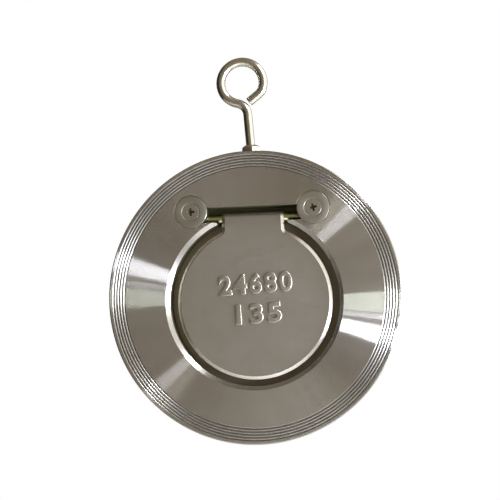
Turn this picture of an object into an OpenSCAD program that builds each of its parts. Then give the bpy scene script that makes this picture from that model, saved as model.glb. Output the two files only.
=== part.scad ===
// Thin wafer check valve with one swing disc, DN100 (4 inch).
// X runs across the valve, Z runs up to the lifting eye, Y runs along the pipe.
// The outlet face looks along -Y and the inlet face along +Y.
// The origin is the centre of the ring, halfway through its thickness.

/* [Ring] */
// Outside diameter of the ring, which sits inside the circle of flange bolts
ring_d = 162; // [160:0.5:164]
// Thickness of the ring from face to face
ring_t = 18; // [18:0.5:20]
// Chamfer on the two outer corners of the rim
ring_chamfer = 0.5; // [0.2:0.1:1]
// Diameter of the flow bore
bore_d = 70; // [66:1:70]
// Chamfer where the bore opens in the inlet face
bore_chamfer = 1.5; // [0.5:0.1:3]
// How far the bore, seat and disc recess sit below the centre of the ring
bore_drop = 2.2; // [1.9:0.1:2.4]

/* [Sealing grooves] */
// Number of concentric grooves in each sealing face
groove_count = 5; // [3:1:5]
// Radius of the innermost groove
groove_first_r = 72.3; // [71.8:0.1:72.6]
// Radial distance from groove to groove
groove_pitch = 1.55; // [1.3:0.05:1.6]
// Width of a groove at the face
groove_w = 1; // [0.6:0.1:1.2]
// Depth of a groove
groove_depth = 0.5; // [0.3:0.1:0.6]

/* [Disc recess] */
// Diameter of the recess that the disc lies in
recess_d = 93.9; // [92.5:0.1:94.5]
// Depth of the recess from the outlet face to the seat
recess_depth = 12.5; // [12.5:0.1:13]
// Bevel round the mouth of the recess
recess_bevel = 2.3; // [1:0.1:2.6]

/* [Seat seal] */
// Mean diameter of the seal ring
seal_mean_d = 77.8; // [77:0.1:78.4]
// Thickness of the seal ring's cord
seal_cord_d = 3; // [2.6:0.1:3]
// How far the seal ring stands out of the seat
seal_proud = 0.2; // [0.1:0.05:0.25]

/* [Disc] */
// Diameter of the disc
disc_d = 85.8; // [84:0.2:87]
// Thickness of the disc, which is also the thickness of its hinge lug
disc_t = 7.2; // [6.8:0.1:7.2]
// Bevel on the outlet side of the disc's rim and of the lug's sides
disc_bevel = 1.7; // [0.8:0.1:2]
// Chamfer on the seat side of the disc's rim
disc_back_chamfer = 0.6; // [0.2:0.1:1]
// How far the disc's centre sits below the centre of the ring
disc_drop = 2.7; // [2.3:0.1:3]
// How far the disc's outlet face lies behind the ring's outlet face
disc_sunk = 5; // [4.9:0.05:5]
// Width of the hinge lug
lug_w = 34.4; // [30:0.2:35]

/* [Hinge] */
// Height of the hinge axis above the centre of the ring
hinge_z = 44.1; // [43.9:0.1:44.3]
// Diameter of the hinge pin
pin_d = 5; // [4:0.1:5]
// Length of the hinge pin
pin_len = 60; // [58:0.5:61]
// Running clearance round the pin in its seats
pin_clearance = 0.05; // [0.02:0.01:0.1]
// Width of the opening between the recess and the hinge slot
neck_w = 39.2; // [38:0.2:42]
// Width of the hinge slot
slot_w = 50.8; // [50:0.2:52]
// Lower edge of the hinge slot
slot_low_z = 41.65; // [41.5:0.05:41.8]
// Upper edge of the hinge slot
slot_top_z = 49.9; // [49.7:0.1:50.5]

/* [Retaining caps] */
// Diameter of a cap
cap_d = 18; // [17.5:0.1:18.4]
// Distance between the centres of the two caps
cap_span = 68; // [67.5:0.1:68.5]
// Height of the caps' centres above the centre of the ring
cap_z = 48; // [47.6:0.1:48.4]
// Gap between a cap and its counterbore
cap_gap = 0.15; // [0.1:0.05:0.3]
// Nominal diameter of the cap screws
screw_d = 5; // [4:0.5:5]
// Diameter of the screw heads
screw_head_d = 9.4; // [9:0.1:9.6]
// Length of a screw from the top of its head
screw_len = 13.5; // [12:0.5:14]
// Width across the cross recess of a screw
cross_w = 4.4; // [4:0.1:4.6]
// Width of one arm of the cross recess
cross_arm = 1.2; // [1:0.1:1.3]
// Depth of the cross recess
cross_depth = 1.6; // [1:0.1:1.8]
// Turn of the cross recess in the left screw
cross_turn_left = 3; // [-45:1:45]
// Turn of the cross recess in the right screw
cross_turn_right = 13; // [-45:1:45]

/* [Lifting eye] */
// Nominal diameter of the eye bolt's thread
eye_thread_d = 6; // [5:0.5:6]
// Length of thread below the rim
eye_thread_depth = 14; // [10:0.5:15]
// Length of thread above the rim
eye_thread_above = 4.4; // [4:0.1:4.5]
// Diameter of the wire that the eye is bent from
wire_d = 5; // [4.4:0.1:5.2]
// Lean of the eye bolt's shank from upright
eye_lean = 3.7; // [0:0.1:5]
// Height of the eye's centre above the rim, along the shank
eye_rise = 40.6; // [37:0.1:42]
// Sideways offset of the eye's centre from the shank
eye_offset = 1.6; // [1:0.1:3]
// Radius of the eye, to the middle of the wire
eye_r = 12; // [11:0.1:13]
// Radius of the bend between the shank and the eye
neck_bend_r = 7; // [5:0.5:9]
// Radius of the tighter bend near the wire's cut end
tail_bend_r = 7; // [6:0.5:9]
// Length of the straight piece at the wire's cut end
tail_len = 6.8; // [5:0.1:7]
// Width across the flats of the lock nut
nut_af = 10; // [9:0.5:10]
// Height of the lock nut
nut_h = 4.6; // [4.5:0.1:5.5]
// Turn of the lock nut about the shank
nut_turn = 10; // [0:1:60]

/* [Hidden] */
$fn = 96;
EPS = 0.01;
CUT = 1;

ring_r = ring_d / 2;
bore_r = bore_d / 2;
recess_r = recess_d / 2;
disc_r = disc_d / 2;
cap_r = cap_d / 2;

// Places along the pipe
outlet_y = -ring_t / 2;
inlet_y = ring_t / 2;
seat_y = outlet_y + recess_depth;
disc_front_y = outlet_y + disc_sunk;
disc_back_y = disc_front_y + disc_t;
hinge_y = disc_front_y + disc_t / 2;

// The seal ring lies in a square groove with a little room all round
seal_room = 0.1;
seal_r = seal_mean_d / 2;
seal_y = seat_y - seal_proud + seal_cord_d / 2;
seal_groove_w = seal_cord_d + 2 * seal_room;
seal_groove_depth = seal_cord_d - seal_proud + seal_room;

// The barrel of the lug is a full round of the disc's thickness
lug_barrel_r = disc_t / 2;
lug_root_z = 30;
pin_bore_gap = 0.02;
pin_chamfer = 0.4;
pin_end_room = 0.2;
pin_seat_w = pin_d + 2 * pin_clearance;
pin_seat_y = hinge_y + pin_d / 2 + pin_clearance;

// A cap reaches from the outlet face down to just above the pin
cap_room = 0.1;
cap_back_y = hinge_y - pin_d / 2 - cap_room;
cap_t = cap_back_y - outlet_y;
cap_edge = 0.25;
screw_hole_gap = 0.25;
screw_tap_gap = 0.05;
drill_past = 1;
screw_sunk = 0.1;
sink_gap = 0.05;
head_edge = 0.15;

// The lock nut stands on a small flat cut across the rim
spot_sink = 0.3;
spot_face_r = 7;
spot_z = ring_r - spot_sink;
eye_tap_gap = 0.05;
nut_corner_d = nut_af / cos(30);
nut_crown_angle = 40;
nut_crown_share = 0.7;
nut_crown_r = nut_crown_share * nut_af / 2;
nut_cone_r = nut_crown_r + nut_h / tan(nut_crown_angle);

// The eye in the plane of its shank: the neck bend turns left out of the shank and
// meets the eye on the line between their centres
eye_c = [-eye_offset, eye_rise];
neck_c = [-neck_bend_r, eye_rise - sqrt(pow(neck_bend_r + eye_r, 2) - pow(neck_bend_r - eye_offset, 2))];
neck_turn = atan2(eye_c[1] - neck_c[1], eye_c[0] - neck_c[0]);
eye_start = neck_turn + 180;
tail_start = -20; // where the tighter bend starts, about the eye's centre
tail_turn = 36; // how far the tighter bend turns
tail_c = [
    eye_c[0] + (eye_r - tail_bend_r) * cos(tail_start),
    eye_c[1] + (eye_r - tail_bend_r) * sin(tail_start)
];
tail_dir = tail_start - tail_turn;
band_h = 0.5;
band_proud = 0.02;

// A solid of revolution about the pipe axis: the profile's points are [radius, y]
module turned(profile, drop = 0) {
    translate([0, 0, -drop]) rotate([-90, 0, 0]) rotate_extrude() polygon(profile);
}

// A bar along the pipe from y0 to y1, drawn in its place in X and Z
module bar(y0, y1, r, x = 0, z = 0) {
    translate([x, y0, z]) rotate([-90, 0, 0]) cylinder(h = y1 - y0, r = r);
}

// A bar across the valve, centred on the hinge axis
module cross_bar(r, len) {
    translate([-len / 2, hinge_y, hinge_z]) rotate([0, 90, 0]) cylinder(h = len, r = r);
}

// A block that is centred in X, with its corners in Y and Z
module block(w, y0, y1, z0, z1) {
    translate([-w / 2, y0, z0]) cube([w, y1 - y0, z1 - z0]);
}

// Concentric V grooves in one face; side is -1 for the outlet face, 1 for the inlet face
module face_grooves(side) {
    face_y = side * ring_t / 2;
    out = side * EPS;
    wide = groove_w / 2 * (1 + EPS / groove_depth);
    for (i = [0 : groove_count - 1]) {
        r = groove_first_r + i * groove_pitch;
        turned([[r - wide, face_y + out], [r + wide, face_y + out], [r, face_y - side * groove_depth]]);
    }
}

// The recess for the disc, with the bevel round its mouth
module disc_recess() {
    mouth_r = recess_r + recess_bevel + CUT;
    turned([
        [0, outlet_y - CUT], [mouth_r, outlet_y - CUT],
        [recess_r, outlet_y + recess_bevel], [recess_r, seat_y], [0, seat_y]
    ], bore_drop);
}

// The slot that the lug and pin lie in, its neck to the recess, and the pin's seats
module hinge_slot() {
    block(neck_w, outlet_y - CUT, seat_y, lug_root_z, slot_low_z + CUT);
    block(slot_w, outlet_y - CUT, seat_y, slot_low_z, slot_top_z);
    block(pin_len + 2 * pin_end_room, outlet_y - CUT, pin_seat_y,
          hinge_z - pin_seat_w / 2, hinge_z + pin_seat_w / 2);
}

// The flow bore, with a chamfer at the inlet face
module flow_bore() {
    wide_r = bore_r + bore_chamfer + CUT;
    turned([
        [0, 0], [bore_r, 0], [bore_r, inlet_y - bore_chamfer],
        [wide_r, inlet_y + CUT], [0, inlet_y + CUT]
    ], bore_drop);
}

module seal_groove() {
    inner = seal_r - seal_groove_w / 2;
    outer = seal_r + seal_groove_w / 2;
    floor_y = seat_y + seal_groove_depth;
    turned([[inner, seat_y - CUT], [outer, seat_y - CUT], [outer, floor_y], [inner, floor_y]], bore_drop);
}

// Counterbore and tapped hole for one cap; side is -1 for the left one
module cap_seat(side) {
    x = side * cap_span / 2;
    tap_end_y = outlet_y + screw_len + drill_past;
    bar(outlet_y - CUT, cap_back_y, cap_r + cap_gap, x, cap_z);
    bar(cap_back_y - CUT, tap_end_y, screw_d / 2 + screw_tap_gap, x, cap_z);
}

// Tapped hole in the top of the rim, with the flat for the lock nut
module eye_seat() {
    hole_z = spot_z - eye_thread_depth - drill_past;
    translate([0, 0, hole_z]) cylinder(h = ring_r - hole_z + CUT, r = eye_thread_d / 2 + eye_tap_gap);
    translate([0, 0, spot_z]) cylinder(h = spot_sink + CUT, r = spot_face_r);
}

module ring_blank() {
    edge_r = ring_r - ring_chamfer;
    turned([
        [0, outlet_y], [edge_r, outlet_y], [ring_r, outlet_y + ring_chamfer],
        [ring_r, inlet_y - ring_chamfer], [edge_r, inlet_y], [0, inlet_y]
    ]);
}

// The turned ring with its two grooved sealing faces
module body() {
    color([0.56, 0.53, 0.49])
    difference() {
        ring_blank();
        face_grooves(-1);
        face_grooves(1);
        disc_recess();
        hinge_slot();
        flow_bore();
        seal_groove();
        cap_seat(-1);
        cap_seat(1);
        eye_seat();
    }
}

// The round plate of the disc, bevelled towards the outlet
module disc_plate() {
    turned([
        [0, disc_front_y], [disc_r - disc_bevel, disc_front_y], [disc_r, disc_front_y + disc_bevel],
        [disc_r, disc_back_y - disc_back_chamfer], [disc_r - disc_back_chamfer, disc_back_y],
        [0, disc_back_y]
    ], disc_drop);
}

// The lug's outline from above, with the disc's bevel down both sides
module lug_block(top_z) {
    half = lug_w / 2;
    translate([0, 0, lug_root_z]) linear_extrude(top_z - lug_root_z) polygon([
        [-half, disc_back_y], [-half, disc_front_y + disc_bevel], [-half + disc_bevel, disc_front_y],
        [half - disc_bevel, disc_front_y], [half, disc_front_y + disc_bevel], [half, disc_back_y]
    ]);
}

module lug() {
    lug_block(hinge_z);
    intersection() {
        lug_block(hinge_z + lug_barrel_r + CUT);
        cross_bar(lug_barrel_r, lug_w);
    }
}

// The flap: a round plate with a hinge lug that is bored for the pin
module disc() {
    color([0.60, 0.58, 0.54])
    difference() {
        union() {
            disc_plate();
            lug();
        }
        cross_bar(pin_d / 2 + pin_bore_gap, lug_w + 2 * CUT);
    }
}

// The pin that the disc swings on, with a chamfer at each end
module hinge_pin() {
    half = pin_len / 2;
    r = pin_d / 2;
    color([0.62, 0.62, 0.58])
    translate([0, hinge_y, hinge_z]) rotate([0, 90, 0]) rotate_extrude() polygon([
        [0, -half], [r - pin_chamfer, -half], [r, -half + pin_chamfer],
        [r, half - pin_chamfer], [r - pin_chamfer, half], [0, half]
    ]);
}

// A round cap, countersunk for its screw
module retainer_cap(side) {
    hole_r = screw_d / 2 + screw_hole_gap;
    sink_r = screw_head_d / 2 + head_edge + screw_sunk + sink_gap;
    sink_depth = sink_r - hole_r;
    color([0.60, 0.57, 0.53])
    translate([side * cap_span / 2, outlet_y, cap_z]) rotate([-90, 0, 0]) rotate_extrude() polygon([
        [sink_r, 0], [cap_r - cap_edge, 0], [cap_r, cap_edge], [cap_r, cap_t],
        [hole_r, cap_t], [hole_r, sink_depth]
    ]);
}

module retainer_cap_left() { retainer_cap(-1); }

module retainer_cap_right() { retainer_cap(1); }

// A countersunk screw with a cross recess, turned as it was left by the fitter
module cap_screw(side, turn) {
    shank_r = screw_d / 2;
    head_r = screw_head_d / 2;
    head_h = head_edge + head_r - shank_r;
    color([0.64, 0.62, 0.57])
    translate([side * cap_span / 2, outlet_y + screw_sunk, cap_z]) rotate([-90, 0, 0]) difference() {
        rotate_extrude() polygon([
            [0, 0], [head_r - head_edge, 0], [head_r, head_edge], [shank_r, head_h],
            [shank_r, screw_len], [0, screw_len]
        ]);
        rotate([0, 0, turn]) for (quarter = [0, 90]) {
            rotate([0, 0, quarter]) translate([-cross_w / 2, -cross_arm / 2, -CUT])
                cube([cross_w, cross_arm, cross_depth + CUT]);
        }
    }
}

module cap_screw_left() { cap_screw(-1, cross_turn_left); }

module cap_screw_right() { cap_screw(1, cross_turn_right); }

// The soft ring that the disc closes on
module seat_o_ring() {
    color([0.12, 0.12, 0.12])
    translate([0, seal_y, -bore_drop]) rotate([-90, 0, 0]) rotate_extrude()
        translate([seal_r, 0]) circle(d = seal_cord_d);
}

// A bend of the wire in the plane of the eye, between two angles about a centre [x, z]
module wire_bend(centre, r, from, to) {
    translate([centre[0], 0, centre[1]]) rotate([90, 0, 0]) rotate([0, 0, from])
        rotate_extrude(angle = to - from) translate([r, 0]) circle(d = wire_d);
}

// A straight piece of wire, or the band over a joint, that leaves the circle of radius r
// about a centre [x, z] at an angle; it runs from one length to another along the tangent
module wire_stick(centre, r, angle, from, to, d) {
    translate([centre[0], 0, centre[1]]) rotate([0, -angle, 0]) translate([r, 0, from])
        cylinder(h = to - from, d = d);
}

// The hair-thin band that closes the joint of two bends
module wire_band(centre, r, angle) {
    wire_stick(centre, r, angle, -band_h / 2, band_h / 2, wire_d + 2 * band_proud);
}

// The bent part of the eye bolt, with its shank along +Z from the rim
module bent_wire() {
    cylinder(h = neck_c[1], d = wire_d);
    wire_band(neck_c, neck_bend_r, 0);
    wire_bend(neck_c, neck_bend_r, 0, neck_turn);
    wire_band(eye_c, eye_r, eye_start);
    wire_bend(eye_c, eye_r, tail_start, eye_start);
    wire_band(eye_c, eye_r, tail_start);
    wire_bend(tail_c, tail_bend_r, tail_dir, tail_start);
    wire_band(tail_c, tail_bend_r, tail_dir);
    wire_stick(tail_c, tail_bend_r, tail_dir, -tail_len, 0, wire_d);
}

// The lifting eye: a threaded end screwed into the rim, and a loop bent by hand
module eye_bolt() {
    color([0.60, 0.59, 0.54])
    translate([0, 0, spot_z]) union() {
        translate([0, 0, -eye_thread_depth])
            cylinder(h = eye_thread_depth + eye_thread_above, d = eye_thread_d);
        rotate([0, -eye_lean, 0]) bent_wire();
    }
}

// The hexagon nut that locks the eye bolt, with its corners turned off in a steep cone
module eye_bolt_nut() {
    color([0.62, 0.60, 0.56])
    translate([0, 0, spot_z]) difference() {
        intersection() {
            rotate([0, 0, nut_turn]) cylinder(h = nut_h, d = nut_corner_d, $fn = 6);
            cylinder(h = nut_h, r1 = nut_cone_r, r2 = nut_crown_r);
        }
        translate([0, 0, -CUT]) cylinder(h = nut_h + 2 * CUT, r = eye_thread_d / 2 + eye_tap_gap);
    }
}

body();
disc();
hinge_pin();
retainer_cap_left();
retainer_cap_right();
cap_screw_left();
cap_screw_right();
seat_o_ring();
eye_bolt();
eye_bolt_nut();
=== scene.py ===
"""A thin wafer check valve of face-turned stainless steel, dressed round its CAD frame.

X runs across the valve, Z up to the lifting eye and Y along the pipe. The outlet face looks
along -Y. Lengths are in metres and every piece has its place in its own mesh.
"""

import math

import bmesh
import bpy
from bpy.props import FloatProperty, FloatVectorProperty, IntProperty, PointerProperty, StringProperty
from mathutils import Matrix, Vector


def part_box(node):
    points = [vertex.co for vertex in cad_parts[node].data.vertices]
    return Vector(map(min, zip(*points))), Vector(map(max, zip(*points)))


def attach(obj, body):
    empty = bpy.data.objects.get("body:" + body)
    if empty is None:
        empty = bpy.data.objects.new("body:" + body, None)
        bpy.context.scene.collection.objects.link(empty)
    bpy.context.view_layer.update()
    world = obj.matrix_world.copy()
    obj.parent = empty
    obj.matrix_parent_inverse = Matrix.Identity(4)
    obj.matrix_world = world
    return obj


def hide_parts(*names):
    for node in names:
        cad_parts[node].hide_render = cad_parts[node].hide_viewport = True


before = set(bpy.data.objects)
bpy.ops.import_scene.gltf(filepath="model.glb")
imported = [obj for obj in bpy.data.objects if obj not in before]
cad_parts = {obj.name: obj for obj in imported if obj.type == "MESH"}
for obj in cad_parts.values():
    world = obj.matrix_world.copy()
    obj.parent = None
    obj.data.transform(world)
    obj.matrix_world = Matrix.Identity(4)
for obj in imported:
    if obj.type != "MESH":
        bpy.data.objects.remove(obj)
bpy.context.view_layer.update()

bl_info = {
    "name": "Wafer check valve",
    "version": (1, 0, 0),
    "blender": (4, 5, 0),
    "location": "View3D > Sidebar > Valve",
    "description": "Builds a thin swing-disc wafer check valve round its CAD frame",
    "category": "Add Mesh",
}

MM = 0.001
FULL_TURN = 2 * math.pi
PIPE_AXIS = Vector((0, 1, 0))
PIN_AXIS = Vector((1, 0, 0))
UP = Vector((0, 0, 1))
BODY = "valve_body"
FLAP = "disc_assembly"
SHARP_ANGLE = math.radians(22)
# vertices this close are one; TOUCH and HAIR are the room that tests of place allow
WELD = 0.0001 * MM
TOUCH = 0.001 * MM
HAIR = 0.01 * MM
# how far a cutter reaches past the surface that it cuts
PAST = 1 * MM

BODY_LOW, BODY_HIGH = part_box("body")
DISC_LOW, DISC_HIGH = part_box("disc")
PIN_LOW, PIN_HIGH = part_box("hinge_pin")
CAP_LOW, CAP_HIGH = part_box("retainer_cap_right")
HEAD_LOW, HEAD_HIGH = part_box("cap_screw_right")
SEAL_LOW, SEAL_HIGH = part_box("seat_o_ring")
EYE_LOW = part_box("eye_bolt")[0]
NUT_LOW, NUT_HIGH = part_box("eye_bolt_nut")

OUTLET, INLET = BODY_LOW.y, BODY_HIGH.y
RIM_RADIUS = BODY_HIGH.x
PIN_Y = (PIN_LOW.y + PIN_HIGH.y) / 2
PIN_Z = (PIN_LOW.z + PIN_HIGH.z) / 2
CAP_RADIUS = (CAP_HIGH.x - CAP_LOW.x) / 2
SEAL_RADIUS = (SEAL_HIGH.x - SEAL_LOW.x) / 2


def linear(code):
    """Linear RGB from an sRGB hex code."""
    parts = [int(code[i:i + 2], 16) / 255 for i in (1, 3, 5)]
    return tuple(c / 12.92 if c <= 0.04045 else ((c + 0.055) / 1.055) ** 2.4 for c in parts)


def length(name, text, default):
    """A length property in metres."""
    return FloatProperty(name=name, description=text, default=default, min=0, unit="LENGTH", precision=5)


def colour(name, text, code):
    """A colour property that starts from an sRGB hex code."""
    return FloatVectorProperty(
        name=name, description=text, default=linear(code), size=3, min=0, max=1, subtype="COLOR"
    )


class RingSizes(bpy.types.PropertyGroup):
    """Sizes of the turned ring, its recess and the hinge slot"""
    groove_count: IntProperty(name="Grooves", description="Sealing grooves in each face", default=5, min=1)
    groove_first: length("First groove", "Radius of the innermost sealing groove", 72.3 * MM)
    groove_pitch: length("Groove pitch", "Radial distance from groove to groove", 1.55 * MM)
    groove_width: length("Groove width", "Width of a groove at the face", 1.0 * MM)
    groove_depth: length("Groove depth", "Depth of a groove", 0.5 * MM)
    rim_chamfer: length("Rim chamfer", "Chamfer on the outer corners of the rim", 0.5 * MM)
    drop: length("Bore drop", "How far bore and recess sit below the ring's centre", 2.2 * MM)
    bore_radius: length("Bore radius", "Radius of the flow bore", 35 * MM)
    bore_chamfer: length("Bore chamfer", "Chamfer at the inlet end of the bore", 1.5 * MM)
    recess_radius: length("Recess radius", "Radius of the recess that the disc lies in", 46.95 * MM)
    recess_depth: length("Recess depth", "Depth from the outlet face to the seat", 12.5 * MM)
    recess_bevel: length("Recess bevel", "Bevel round the mouth of the recess", 2.3 * MM)
    neck_width: length("Neck width", "Width of the way from recess to hinge slot", 39.2 * MM)
    slot_width: length("Slot width", "Width of the hinge slot", 50.8 * MM)
    slot_low: length("Slot lower edge", "Height of the slot's lower edge", 41.65 * MM)
    slot_top: length("Slot upper edge", "Height of the slot's upper edge", 49.9 * MM)
    edge_break: length("Broken edges", "Small chamfer left on milled edges", 0.25 * MM)


class FlapSizes(bpy.types.PropertyGroup):
    """Sizes of the cast disc, its figures, hinge pin and seal"""
    bevel: length("Disc chamfer", "Width of the chamfer on the outlet side of the disc", 1.7 * MM)
    rim_slope: FloatProperty(
        name="Rim slope", description="Depth of the disc's chamfer over its width", default=0.38, min=0
    )
    back_chamfer: length("Back chamfer", "Chamfer on the seat side of the disc", 0.6 * MM)
    lug_width: length("Lug width", "Width of the hinge lug", 34.4 * MM)
    lug_fillet: length("Lug fillet", "Cast fillet where the lug meets the disc", 1.4 * MM)
    pin_radius: length("Pin radius", "Radius of the hinge pin", 2.5 * MM)
    pin_chamfer: length("Pin chamfer", "Chamfer at the pin's ends", 0.4 * MM)
    figure_height: length("Figure height", "Height of the cast figures", 10.4 * MM)
    figure_depth: length("Figure depth", "Depth of a figure's straight side", 0.36 * MM)
    figure_round: length("Figure rounding", "Rounding of a figure's edge", 0.42 * MM)
    first_row: StringProperty(name="First row", description="Generic figures, first row", default="24680")
    second_row: StringProperty(name="Second row", description="Generic figures, second row", default="135")
    seal_cord: length("Seal cord", "Thickness of the seal ring", 3 * MM)


class FastenerSizes(bpy.types.PropertyGroup):
    """Sizes of caps, screws, lifting eye and nut"""
    cap_round: length("Cap edge", "Rounding of a cap's outer edge", 0.16 * MM)
    sink_radius: length("Countersink radius", "Mouth of a cap's countersink", 5.0 * MM)
    screw_hole: length("Screw hole radius", "Radius of the screw's clearance hole", 2.75 * MM)
    head_radius: length("Head radius", "Radius of a screw head", 4.7 * MM)
    screw_radius: length("Screw radius", "Outer radius of a screw's thread", 2.5 * MM)
    screw_pitch: length("Screw pitch", "Pitch of a screw's thread", 0.8 * MM)
    cross_width: length("Cross width", "Width across the cross recess", 5.0 * MM)
    cross_arm: length("Cross arm", "Width of one arm of the cross recess", 1.35 * MM)
    cross_depth: length("Cross depth", "Depth of the cross recess", 1.7 * MM)
    wire_radius: length("Wire radius", "Radius of the eye's wire", 2.5 * MM)
    thread_radius: length("Eye thread radius", "Outer radius of the eye bolt's thread", 3 * MM)
    thread_pitch: length("Eye thread pitch", "Pitch of the eye bolt's thread", 1.0 * MM)
    nut_flats: length("Nut flats", "Width across the flats of the lock nut", 10 * MM)


class FinishColours(bpy.types.PropertyGroup):
    """Colours of the metals, the rubber and the floor; some are darkened or tinted as painted shade and
    painted reflection
    """
    turned: colour("Turned steel", "Face-turned stainless steel", "#c8c5c0")
    # painted shade: this colour is darkened to stand in for the shade in the recess, on the seat and in
    # the bore
    milled: colour("Milled steel", "Milled and bored stainless steel, darkened as painted shade", "#858070")
    cast: colour("Cast steel", "Investment-cast stainless steel, linished", "#a9a49d")
    caps: colour("Cap steel", "Turned caps", "#aaa69e")
    screws: colour("Screw steel", "Cold-formed screws", "#aca8a0")
    # painted reflection: the green-yellow tint stands in for the greenish surroundings that the pin
    # mirrors
    ground: colour("Ground steel", "Centreless-ground pin", "#c2c59c")
    # painted shade: a dark olive colour for the shade in the hinge slot, the narrow gaps, the countersinks
    # and the cross recesses
    painted_shade: colour("Painted shade steel", "Steel darkened as painted shade in narrow gaps", "#5c5a44")
    wire: colour("Wire", "Drawn stainless wire", "#cbc8bd")
    nut: colour("Nut steel", "Cold-formed nut", "#c8c2b8")
    rubber: colour("Seal rubber", "Black fluorocarbon rubber", "#1b1b1c")
    floor: colour("Floor", "Pale studio floor", "#eeece8")


class ValveSettings(bpy.types.PropertyGroup):
    """All the valve's settings"""
    ring: PointerProperty(type=RingSizes)
    flap: PointerProperty(type=FlapSizes)
    fasteners: PointerProperty(type=FastenerSizes)
    colours: PointerProperty(type=FinishColours)


# ---------------------------------------------------------------- mesh helpers

def in_place(axis, radial, centre, radius, along):
    """A point at a radius and a distance along an axis through a centre."""
    return Vector(centre) + radial * radius + axis * along


def spin(bm, geom, centre, axis, angle, steps, merge=False, climb=(0, 0, 0), duplicate=False):
    """Spins a section about an axis; a full turn merges its ends."""
    return bmesh.ops.spin(
        bm, geom=geom, cent=centre, axis=axis, dvec=climb, angle=angle, steps=steps,
        use_merge=merge, use_normal_flip=False, use_duplicate=duplicate
    )


def close_up(bm):
    """Merges doubles, then turns every face outwards."""
    bmesh.ops.remove_doubles(bm, verts=bm.verts, dist=WELD)
    bmesh.ops.recalc_face_normals(bm, faces=bm.faces)


def turned_mesh(profile, steps, centre=(0, 0, 0), axis=PIPE_AXIS):
    """A closed solid of revolution; the profile is a loop of (radius, distance along the axis)."""
    radial = axis.orthogonal().normalized()
    bm = bmesh.new()
    corners = [bm.verts.new(in_place(axis, radial, centre, r, a)) for r, a in profile]
    edges = [bm.edges.new((a, b)) for a, b in zip(corners, corners[1:])]
    if profile[0][0] > 0:
        edges.append(bm.edges.new((corners[-1], corners[0])))
    spin(bm, corners + edges, centre, axis, FULL_TURN, steps, merge=True)
    close_up(bm)
    return bm


def add_thread(bm, centre, axis, radius, pitch, start, end):
    """Adds a screw thread: a wedge that climbs round the shank from start to end."""
    radial = axis.orthogonal().normalized()
    root = radius - 0.62 * pitch
    wedge = [(root, 0.02 * pitch), (radius, 0.47 * pitch), (radius, 0.53 * pitch), (root, 0.98 * pitch)]
    section = bm.faces.new(
        [bm.verts.new(in_place(axis, radial, centre, r, start + a)) for r, a in wedge]
    )
    per_turn = 32
    steps = int((end - start - pitch) / pitch * per_turn)
    turn, climb = FULL_TURN * steps / per_turn, axis * (pitch / per_turn)
    spin(bm, [section], centre, axis, turn, steps, climb=climb, duplicate=True)


def sharp_edges(bm, degrees, keep=None):
    """The edges that turn by more than an angle, and that pass a test of their own."""
    least = math.radians(degrees)
    found = [e for e in bm.edges if len(e.link_faces) == 2 and e.calc_face_angle(0) > least]
    return [e for e in found if keep is None or keep(e)]


def bevel(bm, edges, width, segments=1):
    """Bevels edges; segments above one make it a rounding."""
    bmesh.ops.bevel(
        bm, geom=edges, offset=width, offset_type="OFFSET", segments=segments, profile=0.5,
        affect="EDGES", material=-1, clamp_overlap=True, loop_slide=True
    )


def split(bm, point, normal):
    """Cuts all faces along a plane and keeps both sides."""
    bmesh.ops.bisect_plane(
        bm, geom=bm.verts[:] + bm.edges[:] + bm.faces[:], dist=WELD, plane_co=point, plane_no=normal
    )


def only(kind, items):
    """The items of one kind, such as the edges."""
    return [item for item in items if isinstance(item, kind)]


def new_verts(made):
    """The vertices that an extrusion made."""
    return only(bmesh.types.BMVert, made["geom"])


def make_object(name, bm):
    """A new object at the origin from a finished bmesh."""
    mesh = bpy.data.meshes.new(name)
    bm.to_mesh(mesh)
    bm.free()
    piece = bpy.data.objects.new(name, mesh)
    bpy.context.scene.collection.objects.link(piece)
    return piece


def carve(piece, tools, operation="DIFFERENCE", solver="MANIFOLD"):
    """Cuts the tools out of a piece, or joins or keeps what they share, then removes them."""
    for tool in tools:
        step = piece.modifiers.new("carve", "BOOLEAN")
        step.operation = operation
        step.solver = solver
        step.object = tool
    graph = bpy.context.evaluated_depsgraph_get()
    done = bpy.data.meshes.new_from_object(piece.evaluated_get(graph))
    piece.modifiers.clear()
    old = piece.data
    piece.data = done
    done.name = piece.name
    bpy.data.meshes.remove(old)
    for tool in tools:
        bpy.data.meshes.remove(tool.data)
    if not done.polygons:
        raise RuntimeError(f"nothing is left of {piece.name}")


def block_mesh(low, high):
    """A plain block between two corners, used as a cutter or as a start."""
    low, high = Vector(low), Vector(high)
    bm = bmesh.new()
    bmesh.ops.create_cube(bm, size=1)
    bmesh.ops.scale(bm, vec=high - low, verts=bm.verts)
    bmesh.ops.translate(bm, vec=(low + high) / 2, verts=bm.verts)
    return bm


def flared_cutter(name, low, high, flare):
    """A block cutter whose mouth opens by a small chamfer at the outlet face."""
    bm = block_mesh((low[0], OUTLET + flare, low[1]), (high[0], high[2], high[1]))
    mouth = [f for f in bm.faces if f.normal.y < -0.5]
    corners = new_verts(bmesh.ops.extrude_face_region(bm, geom=mouth))
    reach = 2 * flare
    bmesh.ops.translate(bm, vec=(0, -reach, 0), verts=corners)
    middle_x, middle_z = (low[0] + high[0]) / 2, (low[1] + high[1]) / 2
    for corner in corners:
        corner.co.x += math.copysign(reach, corner.co.x - middle_x)
        corner.co.z += math.copysign(reach, corner.co.z - middle_z)
    bmesh.ops.delete(bm, geom=mouth, context="FACES_ONLY")
    bmesh.ops.recalc_face_normals(bm, faces=bm.faces)
    return make_object(name, bm)


def smooth(piece, angle=SHARP_ANGLE):
    """Shades a piece smooth, except across edges that turn by more than an angle."""
    piece.data.shade_smooth()
    piece.data.set_sharp_from_angle(angle=angle)


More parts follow.
